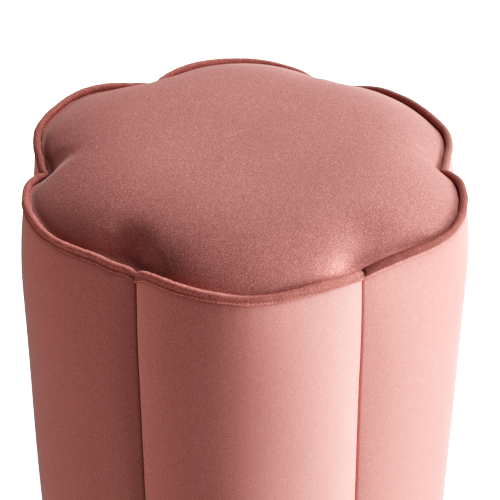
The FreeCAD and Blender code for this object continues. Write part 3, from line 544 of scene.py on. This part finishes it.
def weltProfile():
    # the strip cut across, from the lower tail over the lip, round the cord and back along the upper tail:
    # two arcs of circles, and two points for each tail
    lip = np.radians(np.linspace(-150, 62, welt["lipRows"]))
    ring = np.radians(np.linspace(-48, 232, welt["ringRows"]))
    rows = []
    lipDrop = welt["lipDrop"] + (welt["usualRadius"] - weltRadius) * welt["lipFollow"]
    lipDrop = lipDrop + 0.3 * lipWave - lipLoop
    tailLow, tailHigh = lipDrop - 0.2, lipDrop + 1.0
    for across, up in ((-welt["tailLength"], tailLow + 0.5), (-2.0, tailLow + 0.3)):
        rows.append((across + 0 * weltShare, up))
    lipOut = (welt["lipOut"] + byAngle("lipReach") + lipWave) * weltShare ** 0.5
    lipRadius = welt["lipRadius"] - welt["scallop"] * stitchWave
    for turn in lip:
        rows.append((lipOut + lipRadius * np.cos(turn), lipDrop + lipRadius * np.sin(turn)))
    for turn in ring:
        folds = 0.0
        for at, width, pitch, height in welt["wrinkles"]:
            fade = np.exp(-(fromAngle(weltAngles, at) / width) ** 2)
            folds = folds + height * fade * np.sin(2 * np.pi * weltTravel / pitch + 1.6 * turn)
        radius = weltRadius * weltShare * wobble + folds
        rows.append((radius * np.cos(turn), welt["ringLift"] + radius * np.sin(turn) - (1 - weltShare) * 1.0))
    rows.append((-3.2 + 0 * weltShare, tailHigh + 0.3))
    rows.append((-welt["tailLength"] + 0 * weltShare, tailHigh))
    return [np.stack(part) for part in zip(*rows)]


weltAcross, weltUp = weltProfile()
weltRings = carry(weltPoints, weltOutwards, weltAcross, weltUp)
weltCover = makeRings("weltCover", weltRings, weltVelvet, closed=False)


def weltNapAndPaintedLight(rows):  # the lip's share, then the roll's, with painted shade in the groove between, and mottled
    mottle = 1 + 0.07 * np.sin(weltTravel / 2.3 + np.sin(weltTravel / 7.0)) * np.sin(weltTravel / 13.0)
    fromGroove = np.arange(rows)[:, None] - welt["tailRows"] - welt["lipRows"]
    grooved = np.where(np.abs(fromGroove) < 2, byAngle("groovePaintedShade"), 1.0)
    return np.where(fromGroove < 0, byAngle("lipPaintedLight"), byAngle("rollNapAndPaintedLight")) * grooved * mottle


# the welt's nap with painted light and shade, and a painted shade colour on its shaded run
addValues(weltCover, "napAndPaintedLight", weltNapAndPaintedLight(len(weltRings)))
addValues(weltCover, "shadeAndHighlightTint", byAngle("weltPaintedShadeTint") + np.zeros((len(weltRings), 1)))
thicken(weltCover, welt["clothThickness"])
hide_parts("welt_cover")

# the cord: a tube closed both ways, of three strands, so that its radius waves and the waves turn along it
strand = np.linspace(0, 2 * np.pi, welt["cordSides"], endpoint=False)[:, None]
cordPoints, cordOutwards, cordAngles, cordTravel, cordLength = weltLine(welt["cordColumns"])
twist = 2 * np.pi * np.round(cordLength / welt["cordTwist"]) * cordTravel / cordLength
cordGrip, cordPinch = gripOf(cordAngles)
cordRadius = (cordGrip * cordPinch * welt["cordShare"])[None, :]
cordRadius = cordRadius * (0.8 + 0.2 * np.abs(np.cos(1.5 * strand + 1.5 * twist[None, :])))
cordLift = welt["ringLift"] - (1 - cordPinch)[None, :]
cordAcross, cordUp = cordRadius * np.cos(strand), cordLift + cordRadius * np.sin(strand)
cordRings = carry(cordPoints, cordOutwards, cordAcross, cordUp)
cordFaces = gridFaces(*cordRings.shape[:2], True, True)
weltCord = makeMesh("weltCord", cordRings.reshape(-1, 3), cordFaces, cottonCord)
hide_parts("welt_cord")


def makeStitches():
    # one short run of thread for each stitch, in the groove between the strip's roll and its lip: a tube
    # along the welt that thins at both ends and dips into the cloth there
    count = int(weltLength / welt["stitchPitch"])
    spot = np.arange(count) * weltLength / count + 0.4
    alongShare = np.linspace(-1, 1, welt["threadStations"])
    station = spot[:, None] + alongShare[None, :] * welt["threadLength"] / 2
    line, outwards = (np.stack([np.interp(station % weltLength, weltTravel, part) for part in parts.T], -1)
                      for parts in (weltPoints, weltOutwards))
    turns = np.linspace(0, 2 * np.pi, welt["threadSides"], endpoint=False)
    thin = np.sqrt(np.clip(1 - alongShare ** 2, 0.0, 1)) * welt["threadRadius"]
    sink = welt["threadSink"] * alongShare ** 2
    radius = np.interp(station % weltLength, weltTravel, weltRadius * weltShare)
    middle = line + outwards * (radius * welt["threadOut"] - sink[None, :])[..., None]
    middle[..., 2] += welt["ringLift"] - welt["threadDown"] * radius - 0.15
    around = (outwards[:, :, None, :] * np.cos(turns)[None, None, :, None]
              + np.array([0, 0, 1.0]) * np.sin(turns)[None, None, :, None])
    points = middle[:, :, None, :] + around * np.maximum(thin, 0.02)[None, :, None, None]
    stations, rounds = len(alongShare), len(turns)
    one = gridFaces(stations, rounds, True)[:, ::-1].tolist()
    one += [list(range(rounds)), [(stations - 1) * rounds + i for i in reversed(range(rounds))]]
    faces = [[corner + n * stations * rounds for corner in face] for n in range(count) for face in one]
    return makeMesh("weltStitches", points.reshape(-1, 3), faces, sewingThread)


weltStitches = makeStitches()
print("welt done, length", round(weltLength), "mm")

# the sides: foams and velvet panels
side = dict(
    # upright, a panel is two arcs that meet where it is widest
    widestLevel=324.0, widestOut=9.3, topCurve=558.4, footCurve=14959.8,
    hemLevel=9.8, footRound=8.0, hemInnerRadius=75.3,
    columns=150, foamColumns=60, crowding=0.13, seamGap=0.06, foamSeamGap=0.75, coverThickness=1.2,
    tucked=[(0.3, 411.9), (2.2, 412.9), (5.5, 413.1)],  # its top under the welt: mm inwards and level
    # the sewn edge's unevenness dies away over this depth by a power, its waves and tucks over theirs
    unevenDepth=70.0, unevenPower=1.3, fineDepth=22.0, tuckDepth=10.0,
    # the panels' own comes in over the grown depth: how far each lobe is filled out and each valley's seam
    # shifted, and, at the lean's depth under the welt, how far a lobe leans out and a seam has strayed on
    grownDepth=45.0, leanDepth=300.0, seamRadius=180.0,
    lobeFull=[0, 1.2, 0, 0, 3.4, 3], lobeLean=[0, -3.6, 0, 0, 4, 4.6],
    seamShift=[-2.1, 0, 0, 0, 0, 5.2], seamStray=[4.2, 0, 0, 0, 0, -1.2],
    seamDip=0.9, seamWidth=1.1, seamHollow=0.7, seamHollowWidth=12.0,
    # painted shade under the welt and at the seams: share taken off, for the seams by lobe and below zero
    # where it is painted lighter, and depth in mm
    topShade=0.3, topShadeDepth=4.0, seamShade=[-0.15, -0.1, 0.3, 0.3, 0.3, 0.5], seamShadeWidth=1.0,
    # farther in, painted light beside a panel's seams, and painted shade where the share is below zero: share
    # added for each lobe, and width in mm
    seamPaintedLight=[0.28, -0.09, 0, 0, 0, -0.22], seamPaintedLightWidth=[22, 22, 22, 22, 22, 10],
    # share of a painted highlight, a pale colour mixed in beside a panel's counterclockwise seam, for each
    # lobe, and over which widths in mm it comes in and dies away
    seamHighlight=[0.28, 0, 0, 0, 0, 0], seamHighlightStart=5.0, seamHighlightWidth=30.0,
    paleRadius=165.0,  # a panel's distance from the middle, for these widths
    allowance=7.0,  # seam allowance, turned in at a valley
    pucker=0.22, puckerDepth=15.0, puckerPitch=13.0, puckerWidth=26.0,
    foamInner=118.8, foamInset=1.6, foamTop=409.0, foamClear=0.2,
    cornerSoftness=0.02,
)


def sideOut(level):  # how far a panel stands beyond the welt's middle line at a level
    curve = np.where(level > side["widestLevel"], side["topCurve"], side["footCurve"])
    return side["widestOut"] - (curve - np.sqrt(curve ** 2 - (level - side["widestLevel"]) ** 2))


def sideProfile(inset=0.0, hem=True):
    # rows from the hem under the base, round the foot and up to the welt, closer together towards the top:
    # outward distance beyond the welt's middle line, and level
    turnRadius = side["footRound"] - inset
    footLevel = side["hemLevel"] + side["footRound"]
    footOut = sideOut(np.array([footLevel]))[0] - side["footRound"]
    arc = np.radians(np.linspace(-90, 0, 9))
    across = footOut + turnRadius * np.cos(arc)
    up = footLevel + turnRadius * np.sin(arc)
    body = np.concatenate([np.arange(footLevel + 4, 330, 6.0), np.arange(330, 392, 4.0),
                           np.arange(392, 410.6, 1.5)])
    across = np.concatenate([across, sideOut(body) - inset])
    up = np.concatenate([up, body])
    if hem:
        inner = side["hemInnerRadius"] - outline["weltReach"]
        flat = np.linspace(inner, footOut - 2.5, 14)
        turned, level = np.array(side["tucked"]).T
        across = np.concatenate([flat, across, across[-1] - turned])
        up = np.concatenate([0 * flat + up[0], up, level])
    return across, up


def sideRows(lobe, across, up, angles, turnedIn=0.0):
    # a panel's points: rows of the profile against angles from valley to valley, each at the outline's reach
    # for the row's radius plus what is uneven there
    up = up[:, None]
    angle = lobeTurn * lobe + angles[None, :]
    inner = lobeTurn * lobe + np.clip(angles, -29.999, 29.999)[None, :]  # in the lobe at its very edges too
    depth = outline["weltLevel"] - up
    below = np.clip(depth - 4, 0, None)
    fine, tuck = (np.exp(-below / side[name]) for name in ("fineDepth", "tuckDepth"))
    out, lift, turned = unevenness(inner, fine, tuck)
    fade = np.exp(-(below / side["unevenDepth"]) ** side["unevenPower"])
    bulge = np.cos(np.pi * inner / lobeTurn - np.pi * lobe) ** 2  # 1 at the lobe's middle, 0 at its valleys
    shift, stray = pick(side, ("seamShift", "seamStray"), np.where(angles < 0, (lobe - 1) % lobeCount, lobe))
    grown, steadied = 1 - np.exp(-below / side["grownDepth"]), np.clip((up - 10.0) / 40.0, 0, 1)
    filled = side["lobeFull"][lobe] * grown + side["lobeLean"][lobe] * depth / side["leanDepth"]
    strayed = (shift * grown + stray * depth / side["leanDepth"]) * (1 - bulge) * steadied
    distance = reach(inner, outline["weltReach"] + across[:, None], side["cornerSoftness"])
    distance = distance + out * fade + filled * bulge ** 0.5 * steadied

    # near the valleys the cloth is pulled in towards its seam
    fromSeam = distance * np.sin(np.radians(halfLobe - np.abs(angles)))[None, :]
    onSide = up > side["hemLevel"] + 1.0
    dip = side["seamDip"] * np.exp(-(fromSeam / side["seamWidth"]) ** 2)
    dip = dip + side["seamHollow"] * np.exp(-fromSeam / side["seamHollowWidth"])
    distance = distance - dip * onSide * np.clip((up - side["hemLevel"]) / 12.0, 0, 1)

    # under the welt it has small upright puckers, and lower down shallow waves of its stuffing
    travelled = outline["weltReach"] * np.radians(angle) * 1.5
    shrink = np.exp(-np.clip(depth - 6, 0, None) / side["puckerDepth"])
    ripple = np.sin(2 * np.pi * travelled / side["puckerPitch"] + 1.7 * np.sin(travelled / 23.0))
    ripple = side["pucker"] * ripple * shrink * (0.25 + 0.75 * np.exp(-fromSeam / side["puckerWidth"]))
    soft = 0.35 * np.sin(travelled / 19 + up / 61.0 + lobe) + 0.3 * np.sin(up / 37.0 + 2.1 * lobe)
    for way in (depth / 40.0, (up - 20) / 40.0, fromSeam / 12.0):
        soft = soft * np.clip(way, 0, 1)
    distance = distance + (ripple + soft) * onSide - turnedIn
    return place(angle + turned * fade + np.degrees(strayed / side["seamRadius"]), distance, up + lift * fade)


def panelColumns(count, closest):  # angles across a lobe, closer together towards its seams
    t = np.linspace(-1, 1, count)
    return halfLobe * (t + side["crowding"] * np.sin(np.pi * t)) * (1 - closest / halfLobe)


def makeSide(lobe):
    # a velvet panel, whose last columns turn in at the seams, with its painted light and shade, and the foam
    # behind it
    across, up = sideProfile()
    angles = panelColumns(side["columns"], side["seamGap"])
    turnedIn = np.array([side["allowance"], side["allowance"] * 0.5, 1.5])
    angles = np.concatenate([[angles[0]] * 3, angles, [angles[-1]] * 3])
    turnedIn = np.concatenate([turnedIn, np.zeros(side["columns"]), turnedIn[::-1]])
    grid = sideRows(lobe, across, up, angles, turnedIn)
    faces = gridFaces(*grid.shape[:2], False)
    cover = makeMesh(f"sideCover{lobe + 1}", grid.reshape(-1, 3), faces, sideVelvet)
    # painted shade under the welt and at the seams, and painted light and shade beside the seams
    below = np.clip(outline["weltLevel"] - up - 5.0, 0, None)[:, None]
    fromSeam = side["paleRadius"] * np.sin(np.radians(halfLobe - np.abs(angles)))[None, :]
    addValues(cover, "napAndPaintedLight", (1 - side["topShade"] * np.exp(-below / side["topShadeDepth"]))
              * (1 - side["seamShade"][lobe] * np.exp(-(fromSeam / side["seamShadeWidth"]) ** 2))
              * (1 + side["seamPaintedLight"][lobe] * np.exp(-fromSeam / side["seamPaintedLightWidth"][lobe])))
    # painted highlight beside the counterclockwise seam
    pale = np.exp(-fromSeam / side["seamHighlightWidth"]) * (1 - np.exp(-fromSeam / side["seamHighlightStart"]))
    addValues(cover, "shadeAndHighlightTint", side["seamHighlight"][lobe] * pale * (angles > 0) + 0 * below)
    thicken(cover, side["coverThickness"])
    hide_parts(f"side_cover_{lobe + 1}")

    across, up = sideProfile(side["foamInset"], hem=False)
    keep = up < side["foamTop"]
    across, up = across[keep], up[keep]
    angles = panelColumns(side["foamColumns"], side["foamSeamGap"])
    outer = sideRows(lobe, across - side["foamClear"], up, angles)
    angle = lobeTurn * lobe + angles[None, :]
    back = reach(angle, side["foamInner"], side["cornerSoftness"]) + 0 * up[:, None]
    inner = place(angle, back, np.maximum(outer[..., 2], up[0]))
    foam = makeSlab(f"sideFoam{lobe + 1}", outer, inner, foamRubber)
    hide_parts(f"side_foam_{lobe + 1}")


for lobe in range(lobeCount):
    makeSide(lobe)
print("sides done")

dust = dict(radius=111.3, cornerSoftness=0.3, top=9.75, thickness=0.55, sag=0.9, columns=240, rings=16)


def makeDustCover():  # a thin sheet, closed at its rim, that hangs by the square of the share and ripples
    angles = columnsRound(dust["columns"])[None, :]
    shares = np.linspace(0.02, 1, dust["rings"])[:, None]
    edge = reach(angles, dust["radius"], dust["cornerSoftness"])
    ripple = 0.12 * np.sin(angles / 4.0) * shares ** 6 * (1 - shares ** 3)
    hang = dust["sag"] * (1 - shares ** 2) + ripple
    under = place(angles, edge * shares, dust["top"] - dust["thickness"] - hang)
    top = place(angles, edge * shares, dust["top"] - hang)[::-1]
    cover = makeRings("dustCover", np.concatenate([under, top]), dustCloth)
    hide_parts("dust_cover")


makeDustCover()
print("dust cover done")


# frame and hardware keep the CAD's own meshes and get better finishes
def plywoodMaterial():
    # sawn birch plywood: pale rotary-cut face with long figure, and edges in 1.5 mm crossed plies
    material, tree, shader, where = newMaterial("birchPlywood")
    figure = noiseOf(tree, where, 9.0, detail=5.0, roughness=0.6, stretch=(0.12, 1, 1))
    face = mixed(tree, between(tree, figure, 0.35, 0.68), "#d9bd90", "#b8935f")
    height = addNode(tree, "ShaderNodeSeparateXYZ", Vector=where).outputs["Z"]
    ply = addNode(tree, "ShaderNodeMath", dict(operation="PINGPONG"), i0=height, i1=0.0015).outputs[0]
    edge = mixed(tree, between(tree, ply, 0.0006, 0.0009), "#c7a473", "#8a6238")
    normal = addNode(tree, "ShaderNodeNewGeometry").outputs["Normal"]
    upright = addNode(tree, "ShaderNodeSeparateXYZ", Vector=normal).outputs["Z"]
    flat = addNode(tree, "ShaderNodeMath", dict(operation="ABSOLUTE"), i0=upright).outputs[0]
    setInputs(tree, shader, Base_Color=mixed(tree, between(tree, flat, 0.4, 0.6), edge, face), Roughness=0.7)
    bumped(tree, shader, figure, 0.15, 0.5)
    return material


def cloudy(name, first, second, size, detail, smooth, rough, **values):
    # a hard surface: two near colours and a roughness that follow one noise, which is returned as well
    material, tree, shader, where = newMaterial(name)
    cloud = noiseOf(tree, where, size, detail)
    setInputs(tree, shader, Base_Color=mixed(tree, cloud, first, second),
              Roughness=between(tree, cloud, 0.3, 0.7, smooth, rough), **values)
    return material, tree, shader, cloud


# zinc-plated steel: bluish white metal, a little cloudy
zincPlate = cloudy("zincPlatedSteel", "#c4c6c9", "#9c9fa3", 2.5, 3.0, 0.25, 0.42, Metallic=1.0)[0]
# injection-moulded polyethylene: waxy black with a fine spark-eroded grain
blackPlastic, *plasticNodes = cloudy("mouldedPolyethylene", "#111113", "#1b1b1e", 0.9, 2.0, 0.42, 0.55,
                                     IOR=1.51)
bumped(*plasticNodes, 0.05, 0.4)
# planed battens: straight grain along them in honey and straw
planedPine = twoTone("planedPine", "#e3c795", "#c39a5e", 4.0, 0.65, 0.12, specular=0.5, strength=0.5,
                     edges=(0.35, 0.66), fineness=0.6, stretch=(1, 1, 0.03))
# thin peeled and glued board: reddish brown with fine upright pores
bendingPlywood = twoTone("bendingPlywood", "#b98d63", "#8d6240", 1.8, 0.75, 0.1, specular=0.5, strength=0.5,
                         edges=(0.36, 0.66), detail=5.0, fineness=0.7, stretch=(1, 1, 0.06))
finishes = [
    (plywoodMaterial(), ["base_board", "seat_board"]),
    (planedPine, [f"post_{n + 1}" for n in range(lobeCount)]),
    (bendingPlywood, [f"side_shell_{n + 1}" for n in range(lobeCount)]),
    (zincPlate, ["base_board_screws", "seat_board_screws", "base_staples", "glide_screws"]),
    (blackPlastic, [f"glide_{n + 1}" for n in range(lobeCount)]),
]
for material, names in finishes:
    for name in names:
        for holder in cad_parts[name].material_slots:
            holder.material = material
print("frame and hardware done")

# floor, light and camera
studio = dict(
    floor=14.0, floorGlow=1.3, worldGrey="#ffffff", worldStrength=0.03,
    middle=(0, 0, 0.35), distance=2.2,
    # soft boxes: name, azimuth from the front towards +X, elevation and watts, and a colour for the two
    # fills on the left, which give back light that the pouf has warmed
    boxWidth=0.9,
    boxes=[("lowKeyBox", 81, 3, 51), ("keyBox", 90, 15, 17), ("highKeyBox", 90, 35, 6.5),
           ("frontFillBox", 64, 3, 13), ("backBox", 148, 42, 35.5), ("leftFillBox", 270, 3, 4.9, "#fff1e8"),
           ("frontLeftBox", 335, 3, 1.7, "#fff1e8")],
    bounceWidth=3.0, bounceWatts=1.8,  # light from the paper underneath
    # the camera's response to light: it lifts the shadows and rolls off towards white
    responsePower=1.1, responseWhite=1.25,
)


def makeFloor():  # a square of white paper that glows a little, so that it shows as plain white
    half = studio["floor"] / 2
    corners = [(-half, -half, 0), (half, -half, 0), (half, half, 0), (-half, half, 0)]
    mesh = bpy.data.meshes.new("studioFloor")
    mesh.from_pydata(corners, [], [(0, 1, 2, 3)])
    material, tree, shader, _ = newMaterial("whitePaperSweep")
    setInputs(tree, shader, Base_Color="#ffffff", Roughness=0.9, Specular_IOR_Level=0.1,
              Emission_Color="#ffffff", Emission_Strength=studio["floorGlow"])
    mesh.materials.append(material)
    floor = addObject("studioFloor", mesh)
    floor.visible_diffuse = floor.visible_glossy = False


def makeBox(name, where, width, watts, colour="#ffffff"):  # a square soft box that looks at the pouf's middle
    light = bpy.data.lights.new(name, "AREA")
    light.shape, light.size, light.energy = "SQUARE", width, watts
    light.color = linear(colour)[:3]
    box = addObject(name, light)
    box.location = where
    box.rotation_euler = (Vector(studio["middle"]) - Vector(where)).to_track_quat("-Z", "Y").to_euler()
    box.visible_camera = False


def makeLights():  # a faint even sky, the soft boxes and the paper's bounce
    world = bpy.data.worlds.new("studio")
    bpy.context.scene.world = world
    world.use_nodes = True
    tree = world.node_tree
    setInputs(tree, tree.nodes["Background"], Color=studio["worldGrey"], Strength=studio["worldStrength"])
    for name, azimuth, elevation, watts, *colour in studio["boxes"]:
        a, e = math.radians(azimuth), math.radians(elevation)
        towards = Vector((math.sin(a) * math.cos(e), -math.cos(a) * math.cos(e), math.sin(e)))
        where = Vector(studio["middle"]) + studio["distance"] * towards
        makeBox(name, where, studio["boxWidth"], watts, *colour)
    makeBox("paperBounce", Vector((0, 0, 0.002)), studio["bounceWidth"], studio["bounceWatts"])


def setResponse():
    # the scene's light raised to the response's power, times its white, over that same power of the light
    # plus the white less one; the curve with number 3 is the one for all three colours
    settings = bpy.context.scene.view_settings
    settings.view_transform = "Standard"
    settings.use_curve_mapping = True
    curve = settings.curve_mapping.curves[3]
    power, white = studio["responsePower"], studio["responseWhite"]
    for light in (0.01, 0.025, 0.05, 0.08, 0.12, 0.17, 0.23, 0.3, 0.4, 0.5, 0.62, 0.75, 0.88):
        curve.points.new(light, white * light ** power / (light ** power + white - 1))
    settings.curve_mapping.update()


# the photo's view, in metres, degrees and millimetres of lens and sensor
view = dict(place=(0.0, -1.364, 1.2536), target=(0.0037, 0.0, 0.3301), roll=-0.23, lens=127.57, sensor=36.0,
            clip=(0.05, 50.0))


def makeCamera():  # aimed at its target, then rolled about its own axis
    data = bpy.data.cameras.new("photoCamera")
    data.lens, data.sensor_width = view["lens"], view["sensor"]
    data.clip_start, data.clip_end = view["clip"]
    camera = addObject("photoCamera", data)
    aim = (Vector(view["target"]) - Vector(view["place"])).to_track_quat("-Z", "Y").to_matrix().to_4x4()
    roll = Matrix.Rotation(math.radians(view["roll"]), 4, "Z")
    camera.matrix_world = Matrix.Translation(view["place"]) @ aim @ roll
    bpy.context.scene.camera = camera


makeFloor()
makeLights()
makeCamera()
setResponse()
print("studio done")
